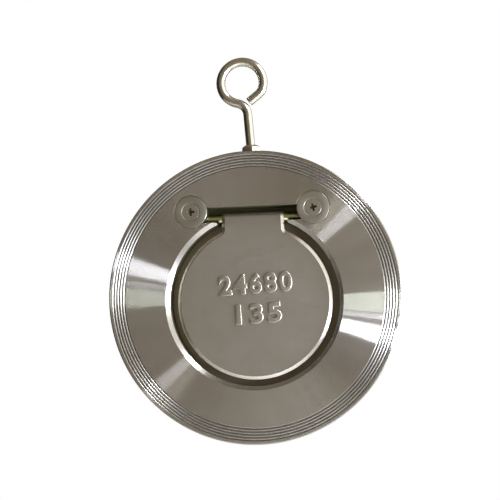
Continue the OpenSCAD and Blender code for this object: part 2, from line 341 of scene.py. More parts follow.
def settle(piece, materials, body, slot, *nodes):
    """Gives a finished piece its materials and its body, and hides the CAD nodes it stands for; the slot
    is not used.
    """
    faces = piece.data.polygons
    # clearing the list of materials also clears which face has which
    sorts = [face.material_index if len(materials) > 1 else 0 for face in faces]
    piece.data.materials.clear()
    for material in materials:
        piece.data.materials.append(material)
    faces.foreach_set("material_index", sorts)
    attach(piece, body)
    if nodes:
        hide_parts(*nodes)
    return piece


def cap_place(side):
    """Centre of a cap on the outlet face; side is -1 on the left and 1 on the right."""
    x = (CAP_LOW.x + CAP_HIGH.x) / 2
    return Vector((side * x, 0, (CAP_LOW.z + CAP_HIGH.z) / 2))


def from_axis(point, centre=(0, 0, 0)):
    """Distance of a point from a line along the pipe through a centre."""
    return math.hypot(point[0] - centre[0], point[2] - centre[2])


# ------------------------------------------------------------------- materials

def add_node(tree, kind, inputs, output=0, **settings):
    """Adds a node with its settings and links, and gives one of its outputs.

    An input is either a value or the output that feeds it.
    """
    node = tree.nodes.new("ShaderNode" + kind)
    for key, value in settings.items():
        setattr(node, key, value)
    for key, value in inputs.items():
        if isinstance(value, bpy.types.NodeSocket):
            tree.links.new(value, node.inputs[key])
        else:
            node.inputs[key].default_value = value
    return node.outputs[output] if node.outputs else None


def new_material(name):
    """A material with an empty node tree, and the tree."""
    material = bpy.data.materials.new(name)
    material.use_nodes = True
    material.node_tree.nodes.clear()
    return material, material.node_tree


def shade(rgb, share=1.0):
    """A share of a linear RGB value, as a node takes it."""
    return (*(c * share for c in rgb[:3]), 1.0)


def centred(tree, centre=(0, 0, 0)):
    """Object coordinates measured from a centre."""
    place = add_node(tree, "TexCoord", {}, output="Object")
    return add_node(tree, "Mapping", {"Vector": place, "Location": [-c for c in centre]})


def radial_parts(tree, position):
    """Distance from the pipe axis, and the direction across the turning marks."""
    flat = add_node(tree, "VectorMath", {0: position, 1: (1, 0, 1)}, operation="MULTIPLY")
    distance = add_node(tree, "VectorMath", {0: flat}, output="Value", operation="LENGTH")
    outward = add_node(tree, "VectorMath", {0: flat}, operation="NORMALIZE")
    # a little of the pipe axis keeps the direction sound on walls that face the axis
    across = add_node(tree, "VectorMath", {0: outward, 1: (0, 0.3, 0)}, operation="ADD")
    world = add_node(
        tree, "VectorTransform", {"Vector": across}, vector_type="VECTOR", convert_from="OBJECT",
        convert_to="WORLD"
    )
    return distance, world


def turned_stainless(name, rgb, centre, roughness, feed, depth, haze=0.24):
    """Stainless steel finished on a lathe with a pointed tool.

    The feed marks run in circles, so a lamp shows as a fan of light from the centre and its
    mirror image opposite, with sharp sides, over a soft haze. Real feed marks are 0.1 to 0.2 mm
    apart; they are drawn wider here, where finer ones would be lost.
    """
    material, tree = new_material(name)
    position = centred(tree, centre)
    distance, across = radial_parts(tree, position)
    fine = add_node(
        tree, "TexNoise", {"W": distance, "Scale": 1 / feed, "Detail": 2.0, "Roughness": 0.6},
        noise_dimensions="1D"
    )
    bands = add_node(
        tree, "TexNoise", {"W": distance, "Scale": 1 / (feed * 9), "Detail": 1.0, "Roughness": 0.6},
        noise_dimensions="1D"
    )
    patches = add_node(
        tree, "TexNoise", {"Vector": position, "Scale": 1 / (34 * MM), "Detail": 3.0, "Roughness": 0.55}
    )
    handled = add_node(
        tree, "TexNoise", {"Vector": position, "Scale": 1 / (7 * MM), "Detail": 4.0, "Roughness": 0.55}
    )
    # the direction from the centre alone, so that these stains run out like rays
    outward = add_node(tree, "VectorMath", {0: position}, operation="NORMALIZE")
    rays = add_node(
        tree, "TexNoise", {"Vector": outward, "Scale": 1 / 0.09, "Detail": 5.0, "Roughness": 0.55}
    )
    base = shade(rgb)
    # each pattern, its part in the colour at most, and how dark it makes the steel
    for pattern, most, share in (
        (patches, 1.0, 0.86), (bands, 0.35, 0.72), (rays, 0.8, 0.55), (fine, 0.6, 0.60)
    ):
        part = add_node(tree, "MapRange", {"Value": pattern, "To Max": most})
        base = add_node(
            tree, "Mix", {0: part, 6: base, 7: shade(rgb, share)}, output=2, data_type="RGBA"
        )
    rough = add_node(tree, "Math", {0: fine, 1: 0.10, 2: roughness - 0.05}, operation="MULTIPLY_ADD")
    rough = add_node(tree, "Math", {0: handled, 1: 0.06, 2: rough}, operation="MULTIPLY_ADD")
    normal = add_node(tree, "Bump", {"Height": fine, "Distance": depth})
    soft = add_node(
        tree, "BsdfPrincipled",
        {
            "Metallic": 1.0, "Base Color": base, "Roughness": rough, "Anisotropic": 0.7,
            "Normal": normal, "Tangent": across
        }
    )
    # a negative anisotropy draws the light out across the marks
    crisp = add_node(
        tree, "BsdfAnisotropic",
        {"Color": base, "Roughness": 0.18, "Anisotropy": -0.87, "Normal": normal, "Tangent": across}
    )
    both = add_node(tree, "MixShader", {0: haze, 1: crisp, 2: soft})
    add_node(tree, "OutputMaterial", {"Surface": both})
    return material


def satin_turned_stainless(name, rgb, centre, roughness):
    """Stainless steel turned and then rubbed down, which leaves faint rings and an even sheen."""
    material, tree = new_material(name)
    position = centred(tree, centre)
    distance, across = radial_parts(tree, position)
    rings = add_node(
        tree, "TexNoise", {"W": distance, "Scale": 1 / (0.9 * MM), "Detail": 2.0, "Roughness": 0.6},
        noise_dimensions="1D"
    )
    patches = add_node(
        tree, "TexNoise", {"Vector": position, "Scale": 1 / (5 * MM), "Detail": 3.0, "Roughness": 0.55}
    )
    base = add_node(
        tree, "Mix", {0: patches, 6: shade(rgb), 7: shade(rgb, 0.85)}, output=2, data_type="RGBA"
    )
    part = add_node(tree, "MapRange", {"Value": rings, "To Max": 0.5})
    base = add_node(tree, "Mix", {0: part, 6: base, 7: shade(rgb, 0.75)}, output=2, data_type="RGBA")
    rough = add_node(
        tree, "Math", {0: patches, 1: 0.12, 2: roughness - 0.06}, operation="MULTIPLY_ADD"
    )
    normal = add_node(tree, "Bump", {"Height": rings, "Distance": 0.01 * MM})
    steel = add_node(
        tree, "BsdfPrincipled",
        {
            "Metallic": 1.0, "Base Color": base, "Roughness": rough, "Anisotropic": 0.3,
            "Normal": normal, "Tangent": across
        }
    )
    add_node(tree, "OutputMaterial", {"Surface": steel})
    return material


def milled_stainless(name, rgb, roughness, centre=(0, 0, 0)):
    """Stainless steel bored and milled: the same steel as the face, duller and less even."""
    material, tree = new_material(name)
    position = centred(tree, centre)
    streaks = add_node(
        tree, "TexNoise", {"Vector": position, "Scale": 1 / (1.1 * MM), "Detail": 3.0, "Roughness": 0.6}
    )
    patches = add_node(
        tree, "TexNoise", {"Vector": position, "Scale": 1 / (15 * MM), "Detail": 3.0, "Roughness": 0.55}
    )
    base = add_node(
        tree, "Mix", {0: patches, 6: shade(rgb), 7: shade(rgb, 0.7)}, output=2, data_type="RGBA"
    )
    rough = add_node(tree, "Math", {0: streaks, 1: 0.2, 2: roughness - 0.1}, operation="MULTIPLY_ADD")
    normal = add_node(tree, "Bump", {"Height": streaks, "Distance": 0.03 * MM})
    steel = add_node(
        tree, "BsdfPrincipled",
        {"Metallic": 1.0, "Base Color": base, "Roughness": rough, "Normal": normal}
    )
    add_node(tree, "OutputMaterial", {"Surface": steel})
    return material


def cast_stainless(name, rgb, roughness):
    """Investment-cast stainless steel, blasted and lightly linished.

    The casting skin leaves a fine even grain with faint long scratches over it; grit marks
    near 0.2 mm are drawn at 0.6 mm so that they show.
    """
    material, tree = new_material(name)
    position = centred(tree)
    grain = add_node(
        tree, "TexNoise", {"Vector": position, "Scale": 1 / (0.6 * MM), "Detail": 4.0, "Roughness": 0.55}
    )
    along = add_node(
        tree, "Mapping", {"Vector": position, "Scale": (0.08, 1, 1), "Rotation": (0, 0.08, 0)}
    )
    scratches = add_node(
        tree, "TexNoise", {"Vector": along, "Scale": 1 / (0.7 * MM), "Detail": 3.0, "Roughness": 0.55}
    )
    skin = add_node(
        tree, "TexNoise", {"Vector": position, "Scale": 1 / (9 * MM), "Detail": 3.0, "Roughness": 0.55}
    )
    base = add_node(
        tree, "Mix", {0: skin, 6: shade(rgb), 7: shade(rgb, 0.82)}, output=2, data_type="RGBA"
    )
    rough = add_node(tree, "Math", {0: skin, 1: 0.10, 2: roughness - 0.05}, operation="MULTIPLY_ADD")
    rough = add_node(tree, "Math", {0: scratches, 1: 0.08, 2: rough}, operation="MULTIPLY_ADD")
    normal = add_node(tree, "Bump", {"Height": grain, "Distance": 0.05 * MM, "Strength": 0.7})
    normal = add_node(
        tree, "Bump", {"Height": scratches, "Distance": 0.02 * MM, "Strength": 0.6, "Normal": normal}
    )
    steel = add_node(
        tree, "BsdfPrincipled",
        {"Metallic": 1.0, "Base Color": base, "Roughness": rough, "Normal": normal}
    )
    add_node(tree, "OutputMaterial", {"Surface": steel})
    return material


def worked_stainless(name, rgb, roughness, grain_size, depth, stretch=(1, 1, 1), darker=0.8):
    """Stainless steel as drawn, ground or cold-formed: smooth, with fine marks along the work."""
    material, tree = new_material(name)
    position = centred(tree)
    along = add_node(tree, "Mapping", {"Vector": position, "Scale": stretch})
    fine = add_node(
        tree, "TexNoise", {"Vector": along, "Scale": 1 / grain_size, "Detail": 4.0, "Roughness": 0.55}
    )
    patches = add_node(
        tree, "TexNoise", {"Vector": position, "Scale": 1 / (6 * MM), "Detail": 3.0, "Roughness": 0.55}
    )
    base = add_node(
        tree, "Mix", {0: patches, 6: shade(rgb), 7: shade(rgb, darker)}, output=2, data_type="RGBA"
    )
    rough = add_node(tree, "Math", {0: fine, 1: 0.14, 2: roughness - 0.07}, operation="MULTIPLY_ADD")
    normal = add_node(tree, "Bump", {"Height": fine, "Distance": depth})
    steel = add_node(
        tree, "BsdfPrincipled",
        {"Metallic": 1.0, "Base Color": base, "Roughness": rough, "Normal": normal}
    )
    add_node(tree, "OutputMaterial", {"Surface": steel})
    return material


def seal_rubber(name, rgb):
    """Moulded fluorocarbon rubber: near black, satin, with a fine bloom."""
    material, tree = new_material(name)
    position = centred(tree)
    bloom = add_node(
        tree, "TexNoise", {"Vector": position, "Scale": 1 / (2.5 * MM), "Detail": 3.0, "Roughness": 0.55}
    )
    skin = add_node(
        tree, "TexNoise", {"Vector": position, "Scale": 1 / (0.5 * MM), "Detail": 3.0, "Roughness": 0.55}
    )
    base = add_node(
        tree, "Mix", {0: bloom, 6: shade(rgb), 7: shade(rgb, 1.8)}, output=2, data_type="RGBA"
    )
    rough = add_node(tree, "Math", {0: bloom, 1: 0.15, 2: 0.45}, operation="MULTIPLY_ADD")
    normal = add_node(tree, "Bump", {"Height": skin, "Distance": 0.02 * MM})
    rubber = add_node(
        tree, "BsdfPrincipled", {"Base Color": base, "Roughness": rough, "IOR": 1.42, "Normal": normal}
    )
    add_node(tree, "OutputMaterial", {"Surface": rubber})
    return material


# ------------------------------------------------------------------- operators

class VALVE_OT_ring(bpy.types.Operator):
    """Turn the ring, and cut its recess, seat, bore, hinge slot and holes"""
    bl_idname = "valve.make_ring"
    bl_label = "Ring"

    def execute(self, context):
        valve = context.scene.valve
        s = valve.ring
        colours = valve.colours
        ring = make_object("ring_body", self.blank(s))
        carve(ring, self.cutters(s))
        self.sort_faces(ring, s)
        smooth(ring)
        turned = tuple(colours.turned)
        feed_depth = 0.003 * MM
        faces = turned_stainless(
            "face_turned_stainless", turned, (0, 0, -s.drop), 0.34, 0.8 * MM, feed_depth
        )
        rim = turned_stainless(
            "rim_turned_stainless", shade(turned, 0.75), (0, 0, 0), 0.36, 0.7 * MM, feed_depth, 0.75
        )
        # the recess, seat and bore are milled, and their colour is darkened as painted shade
        milled = milled_stainless("milled_stainless", tuple(colours.milled), 0.42)
        # painted shade: a dark colour for the slot, its neck, the holes and the gaps round the caps
        painted_shade = milled_stainless("painted_shade_stainless", tuple(colours.painted_shade), 0.5)
        settle(ring, [faces, rim, milled, painted_shade], BODY, "turned_ring", "body")
        return {"FINISHED"}

    def blank(self, s):
        """The ring before its recess is cut, with V grooves in both faces."""
        groove_half = s.groove_width / 2
        centres = [s.groove_first + i * s.groove_pitch for i in range(s.groove_count)]
        front = [(0, OUTLET)]
        for r in centres:
            front += [(r - groove_half, OUTLET), (r, OUTLET + s.groove_depth), (r + groove_half, OUTLET)]
        front += [(RIM_RADIUS - s.rim_chamfer, OUTLET), (RIM_RADIUS, OUTLET + s.rim_chamfer)]
        back = [(r, -y) for r, y in reversed(front)]
        bm = turned_mesh(front + back, 360)
        lips = sharp_edges(bm, 30, lambda e: abs(abs(e.verts[0].co.y) - INLET) < HAIR)
        bevel(bm, lips, 0.09 * MM, 1)
        return bm

    def cutters(self, s):
        """Everything that is bored, milled and drilled out of the ring."""
        seat = OUTLET + s.recess_depth
        return [
            self.flow_way(s, seat), *self.hinge_slot(s, seat), *self.cap_holes(s), self.eye_hole()
        ]

    def flow_way(self, s, seat):
        """The recess, the seat with its seal groove, and the bore."""
        groove_in = SEAL_RADIUS - 3.1 * MM
        groove_out = SEAL_RADIUS + 0.1 * MM
        groove_floor = SEAL_HIGH.y + 0.1 * MM
        profile = [
            (0, OUTLET - PAST), (s.recess_radius + s.recess_bevel + PAST, OUTLET - PAST),
            (s.recess_radius, OUTLET + s.recess_bevel), (s.recess_radius, seat),
            (groove_out, seat), (groove_out, groove_floor), (groove_in, groove_floor),
            (groove_in, seat), (s.bore_radius, seat), (s.bore_radius, INLET - s.bore_chamfer),
            (s.bore_radius + s.bore_chamfer + PAST, INLET + PAST), (0, INLET + PAST)
        ]
        return make_object("flow_cutter", turned_mesh(profile, 288, (0, 0, -s.drop)))

    def hinge_slot(self, s, seat):
        """The slot for the lug, its way down to the recess, and the two seats of the pin."""
        inside_recess = 30 * MM
        neck = flared_cutter(
            "neck_cutter", (-s.neck_width / 2, inside_recess),
            (s.neck_width / 2, s.slot_low + PAST, seat), s.edge_break
        )
        slot = flared_cutter(
            "slot_cutter", (-s.slot_width / 2, s.slot_low), (s.slot_width / 2, s.slot_top, seat),
            s.edge_break
        )
        room = 0.05 * MM
        half_height = (PIN_HIGH.z - PIN_LOW.z) / 2 + room
        reach = PIN_HIGH.x + 0.2 * MM
        seats = make_object("pin_seat_cutter", block_mesh(
            (-reach, OUTLET - PAST, PIN_Z - half_height),
            (reach, PIN_HIGH.y + room, PIN_Z + half_height)
        ))
        return [neck, slot, seats]

    def cap_holes(self, s):
        """A counterbore for each cap, with its screw's hole below it."""
        cap_r = CAP_RADIUS + 0.15 * MM
        screw_r = 2.55 * MM
        end = HEAD_HIGH.y + 0.9 * MM
        broken = s.edge_break * 0.6
        profile = [
            (0, OUTLET - PAST), (cap_r + broken + PAST, OUTLET - PAST), (cap_r, OUTLET + broken),
            (cap_r, CAP_HIGH.y), (screw_r, CAP_HIGH.y), (screw_r, end), (0, end + screw_r * 0.6)
        ]
        return [
            make_object("cap_cutter", turned_mesh(profile, 96, cap_place(side))) for side in (-1, 1)
        ]

    def eye_hole(self):
        """The hole and the spot face in the rim, where the eye bolt goes in."""
        hole_r, spot_r = 3.05 * MM, 7 * MM
        end = EYE_LOW.z - 1 * MM
        profile = [
            (0, end - 1.6 * MM), (hole_r, end), (hole_r, NUT_LOW.z), (spot_r, NUT_LOW.z),
            (spot_r, RIM_RADIUS + PAST), (0, RIM_RADIUS + PAST)
        ]
        return make_object("eye_cutter", turned_mesh(profile, 64, axis=UP))

    def sort_faces(self, ring, s):
        """Sorts the faces by how they were cut, and darkens the recess, the hinge slot and the gaps round
        the caps as painted shade.
        """
        face_cut, rim_cut, milled, painted_shade = range(4)
        grooves_from = s.groove_first - s.groove_width
        rim_from = RIM_RADIUS - 1.2 * MM
        inlet_from = INLET - 2 * MM
        near_cap = CAP_RADIUS + 0.3 * MM
        for face in ring.data.polygons:
            place = face.center
            deep = place.y - OUTLET
            out = from_axis(place)
            from_bore = from_axis(place, (0, 0, -s.drop))
            from_cap = from_axis((abs(place.x), 0, place.z), cap_place(1))
            if deep < 2 * HAIR and face.normal.y < -0.95:
                face.material_index = face_cut
            elif (out > grooves_from and deep < 1 * MM) or out > rim_from or place.y > inlet_from:
                face.material_index = rim_cut
            elif deep < s.recess_bevel + HAIR and from_bore > s.recess_radius - HAIR:
                # the mouth's bevel by the caps and above the slot gets painted shade
                in_mouth = from_cap > near_cap and place.z < s.slot_low
                face.material_index = face_cut if in_mouth else painted_shade
            # recess wall, seat and bore: milled steel, darkened as painted shade
            elif from_bore < s.recess_radius + 0.1 * MM and place.z < s.slot_low - 1 * MM:
                face.material_index = milled
            # the slot, its neck, the pin seats and the holes: painted shade
            else:
                face.material_index = painted_shade


class VALVE_OT_flap(bpy.types.Operator):
    """Cast the disc with its hinge lug, and raise its figures"""
    bl_idname = "valve.make_flap"
    bl_label = "Disc"

    def execute(self, context):
        valve = context.scene.valve
        s = valve.flap
        radius = (DISC_HIGH.x - DISC_LOW.x) / 2
        centre_z = DISC_LOW.z + radius
        flap = make_object("disc_flap", self.casting(s, radius, centre_z))
        bore_r = s.pin_radius + 0.02 * MM
        reach = s.lug_width
        bored = turned_mesh(
            [(0, -reach), (bore_r, -reach), (bore_r, reach), (0, reach)], 96, (0, PIN_Y, PIN_Z), PIN_AXIS
        )
        carve(flap, [make_object("pin_bore", bored)])
        # the rim's chamfer leans only 21 degrees, and has to keep its edges
        smooth(flap, math.radians(13))
        steel = cast_stainless("cast_stainless", tuple(valve.colours.cast), 0.36)
        machined = satin_turned_stainless(
            "rim_machined_stainless", tuple(valve.colours.turned), (0, 0, centre_z), 0.24
        )
        rim_foot = DISC_LOW.y + s.bevel * s.rim_slope
        least_tilt, most_tilt = math.radians(12), math.radians(30)
        for face in flap.data.polygons:
            leans = least_tilt < face.normal.angle(-PIPE_AXIS) < most_tilt
            on_rim = face.center.y < rim_foot and face.center.z < PIN_Z
            face.material_index = 1 if leans and on_rim else 0
        settle(flap, [steel, machined], FLAP, "disc_casting", "disc")
        figures = self.figures(s)
        settle(figures, [steel], FLAP, "disc_casting")
        return {"FINISHED"}

    def casting(self, s, radius, centre_z):
        """The disc and its lug as one outline, thickened and then rounded."""
        front, back = DISC_LOW.y, DISC_HIGH.y
        half = s.lug_width / 2
        top = DISC_HIGH.z
        bm = bmesh.new()
        bmesh.ops.create_circle(bm, cap_ends=True, segments=256, radius=radius)
        turn = Matrix.Translation((0, front, centre_z)) @ Matrix.Rotation(math.pi / 2, 4, "X")
        bmesh.ops.transform(bm, matrix=turn, verts=bm.verts)
        for side in (-half, half):
            split(bm, (side, 0, 0), PIN_AXIS)
        arc = [
            e for e in bm.edges
            if e.is_boundary and all(abs(v.co.x) < half + WELD and v.co.z > centre_z for v in e.verts)
        ]
        for vert in new_verts(bmesh.ops.extrude_edge_only(bm, edges=arc)):
            vert.co.z = top
        bmesh.ops.dissolve_faces(bm, faces=bm.faces[:], use_verts=True)
        spare = [v for v in bm.verts if v.co.z > top - TOUCH and abs(v.co.x) < half - TOUCH]
        bmesh.ops.dissolve_verts(bm, verts=spare)
        plate = new_verts(bmesh.ops.extrude_face_region(bm, geom=bm.faces[:]))
        bmesh.ops.translate(bm, vec=(0, back - front, 0), verts=plate)
        bmesh.ops.recalc_face_normals(bm, faces=bm.faces)

        def upright(e):
            return abs(e.verts[0].co.y - e.verts[1].co.y) > 1 * MM

        corners = sharp_edges(bm, 25, lambda e: upright(e) and e.verts[0].co.z < top - 1 * MM)
        bevel(bm, corners, s.lug_fillet, 9)
        self.chamfer_front(bm, s, top)

        def on_back(e):
            ends = [v.co for v in e.verts]
            return all(abs(c.y - back) < TOUCH for c in ends) and any(c.z < top - TOUCH for c in ends)

        bevel(bm, sharp_edges(bm, 50, on_back), s.back_chamfer, 1)
        self.round_top(bm, (front + back) / 2, (back - front) / 2, top)
        return bm

    def chamfer_front(self, bm, s, top):
        """Machines a shallow chamfer round the front, but not along the top of the lug."""
        faces = [f for f in bm.faces if f.normal.y < -0.99]
        bmesh.ops.inset_region(
            bm, faces=faces, thickness=s.bevel, use_even_offset=True, use_boundary=True
        )
        inner = {vert for face in faces for vert in face.verts}
        for vert in bm.verts:
            if vert not in inner and abs(vert.co.y - DISC_LOW.y) < TOUCH:
                vert.co.y += s.bevel * s.rim_slope
            elif vert in inner and vert.co.z > top - s.bevel - HAIR:
                vert.co.z = top

    def round_top(self, bm, axis_y, radius, top):
        """Thins the lug towards its top, so that it ends in a half barrel."""
        axis_z = top - radius
        steps = 12
        thinnest = 0.03
        for step in range(steps):
            height = axis_z + radius * math.sin(math.radians(90 * step / steps))
            split(bm, (0, 0, height), UP)
        for vert in bm.verts:
            rise = (vert.co.z - axis_z) / radius
            if rise > 0:
                share = max(thinnest, math.sqrt(max(0, 1 - rise ** 2)))
                vert.co.y = axis_y + (vert.co.y - axis_y) * share

    def figures(self, s):
        """Two rows of raised figures with round strokes, as a pattern leaves them in a casting."""
        # the figures, the height of their foot, the row's width and its shift to the right
        rows = (
            (s.first_row, 2.4 * MM, 41 * MM, 0.6 * MM), (s.second_row, -14.2 * MM, 25.6 * MM, 0.9 * MM)
        )
        lean = math.radians(2.4)
        height_in_font = 0.72
        bm = bmesh.new()
        for text, foot, wide, shift in rows:
            curve = bpy.data.curves.new("figures", "FONT")
            curve.body = text
            curve.align_x = "CENTER"
            curve.size = s.figure_height / height_in_font
            curve.space_character = 1.18
            curve.offset = 0.22 * MM
            curve.extrude = s.figure_depth
            curve.bevel_depth = s.figure_round
            curve.bevel_resolution = 3
            curve.resolution_u = 6
            holder = bpy.data.objects.new("figures", curve)
            bpy.context.scene.collection.objects.link(holder)
            graph = bpy.context.evaluated_depsgraph_get()
            mesh = bpy.data.meshes.new_from_object(holder.evaluated_get(graph))
            row = bmesh.new()
            row.from_mesh(mesh)
            across = [v.co.x for v in row.verts]
            fit = wide / (max(across) - min(across))
            bmesh.ops.scale(row, vec=(fit, 1, 1), verts=row.verts)
            turn = (
                Matrix.Translation((shift, DISC_LOW.y, foot)) @ Matrix.Rotation(-lean, 4, "Y")
                @ Matrix.Rotation(math.pi / 2, 4, "X")
            )
            bmesh.ops.transform(row, matrix=turn, verts=row.verts)
            row.to_mesh(mesh)
            row.free()
            bm.from_mesh(mesh)
            bpy.data.meshes.remove(mesh)
            bpy.data.curves.remove(curve)
        close_up(bm)
        piece = make_object("disc_cast_figures", bm)
        smooth(piece, math.radians(50))
        return piece


class VALVE_OT_hinge(bpy.types.Operator):
    """Grind the hinge pin"""
    bl_idname = "valve.make_pin"
    bl_label = "Hinge pin"

    def execute(self, context):
        valve = context.scene.valve
        s = valve.flap
        half = PIN_HIGH.x
        r, c = s.pin_radius, s.pin_chamfer
        bm = turned_mesh(
            [(0, -half), (r - c, -half), (r, -half + c), (r, half - c), (r - c, half), (0, half)],
            96, (0, PIN_Y, PIN_Z), PIN_AXIS
        )
        bevel(bm, sharp_edges(bm, 30), 0.08 * MM, 2)
        pin = make_object("hinge_pin_ground", bm)
        smooth(pin)
        # the pin's green-yellow tint is a painted reflection
        steel = worked_stainless(
            "ground_stainless_painted_reflection", tuple(valve.colours.ground), 0.26, 0.35 * MM, 0.003 * MM, (3, 1, 1)
        )
        settle(pin, [steel], FLAP, "pin_steel", "hinge_pin")
        return {"FINISHED"}


class VALVE_OT_seal(bpy.types.Operator):
    """Mould the seal ring"""
    bl_idname = "valve.make_seal"
    bl_label = "Seal ring"

    def execute(self, context):
        valve = context.scene.valve
        cord_r = valve.flap.seal_cord / 2
        mean_r = SEAL_RADIUS - cord_r
        centre = Vector((0, (SEAL_LOW.y + SEAL_HIGH.y) / 2, (SEAL_LOW.z + SEAL_HIGH.z) / 2))
        bm = bmesh.new()
        bmesh.ops.create_circle(bm, segments=28, radius=cord_r)
        bmesh.ops.translate(bm, vec=centre + Vector((mean_r, 0, 0)), verts=bm.verts)
        spin(bm, bm.verts[:] + bm.edges[:], centre, PIPE_AXIS, FULL_TURN, 192, merge=True)
        close_up(bm)
        ring = make_object("seal_ring", bm)
        smooth(ring, math.radians(60))
        settle(
            ring, [seal_rubber("fluorocarbon_rubber", tuple(valve.colours.rubber))],
            BODY, "seal_rubber", "seat_o_ring"
        )
        return {"FINISHED"}


class VALVE_OT_caps(bpy.types.Operator):
    """Turn the two caps that hold the hinge pin"""
    bl_idname = "valve.make_caps"
    bl_label = "Retaining caps"

    def execute(self, context):
        valve = context.scene.valve
        s = valve.fasteners
        front, back = CAP_LOW.y, CAP_HIGH.y
        r = CAP_RADIUS
        for side, name in ((-1, "left"), (1, "right")):
            centre = cap_place(side)
            profile = [
                (s.sink_radius, front), (r, front), (r, back), (s.screw_hole, back),
                (s.screw_hole, front + s.sink_radius - s.screw_hole)
            ]
            bm = turned_mesh(profile, 128, centre)
            bevel(bm, sharp_edges(bm, 40), s.cap_round, 3)
            cap = make_object("cap_turned_" + name, bm)
            smooth(cap, math.radians(35))
            steel = satin_turned_stainless(
                "satin_turned_stainless_" + name, tuple(valve.colours.caps), centre, 0.36
            )
            painted_shade = milled_stainless(
                "painted_shade_countersink_" + name, tuple(valve.colours.painted_shade), 0.5, centre
            )
            # painted shade in the countersink and in the gap round the cap's edge
            for face in cap.data.polygons:
                out = from_axis(face.center, centre)
                in_gap = out < s.sink_radius - HAIR or out > r - 2 * HAIR
                face.material_index = 1 if in_gap else 0
            settle(cap, [steel, painted_shade], BODY, "cap_steel", "retainer_cap_" + name)
        return {"FINISHED"}


class VALVE_OT_screws(bpy.types.Operator):
    """Form the two countersunk screws with their cross recesses"""
    bl_idname = "valve.make_screws"
    bl_label = "Cap screws"

    def execute(self, context):
        valve = context.scene.valve
        s = valve.fasteners
        steel = worked_stainless(
            "cold_formed_stainless", tuple(valve.colours.screws), 0.34, 0.5 * MM, 0.01 * MM
        )
        painted_shade = milled_stainless("painted_shade_cross_recess", tuple(valve.colours.painted_shade), 0.5)
        for side, name, turn in ((-1, "left", 3), (1, "right", 13)):
            centre = cap_place(side)
            screw = make_object("screw_" + name, self.blank(s, centre))
            carve(screw, self.cross(s, centre, turn))
            # painted shade inside the cross recess
            for face in screw.data.polygons:
                inside = from_axis(face.center, centre) < s.cross_width / 2 + HAIR
                deep = face.center.y - HEAD_LOW.y
                face.material_index = 1 if inside and 2 * HAIR < deep < 2 * s.cross_depth else 0
            smooth(screw)
            settle(screw, [steel, painted_shade], BODY, "screw_steel", "cap_screw_" + name)
        return {"FINISHED"}

    def blank(self, s, centre):
        """The screw before its cross is pressed in, with its shank at the root of the thread."""
        front, tip = HEAD_LOW.y, HEAD_HIGH.y
        root = s.screw_radius - 0.6 * s.screw_pitch
        edge, point = 0.15 * MM, 0.5 * MM
        profile = [
            (0, front), (s.head_radius, front), (s.head_radius, front + edge),
            (root, front + edge + s.head_radius - root),
            (root, tip - point), (root - point, tip), (0, tip)
        ]
        bm = turned_mesh(profile, 96, centre)
        lip = sharp_edges(bm, 30, lambda e: all(v.co.y < front + TOUCH for v in e.verts))
        bevel(bm, lip, 0.12 * MM, 2)
        return bm

    def cross(self, s, centre, turn):
        """The cutters of a cross recess: arms that narrow to a blunt point."""
        place = (
            Matrix.Translation(centre + Vector((0, HEAD_LOW.y, 0)))
            @ Matrix.Rotation(-math.radians(turn), 4, "Y")
        )
        past = 0.5 * MM
        point_length, point_width = 0.34, 0.7
        arms = []
        for quarter in (0, math.pi / 2):
            arm = block_mesh(
                (-s.cross_width / 2, -past, -s.cross_arm / 2),
                (s.cross_width / 2, s.cross_depth, s.cross_arm / 2)
            )
            for vert in arm.verts:
                if vert.co.y > 0:
                    vert.co.x *= point_length
                    vert.co.z *= point_width
            bmesh.ops.transform(arm, matrix=place @ Matrix.Rotation(quarter, 4, "Y"), verts=arm.verts)
            arms.append(make_object("cross_cutter", arm))
        return arms


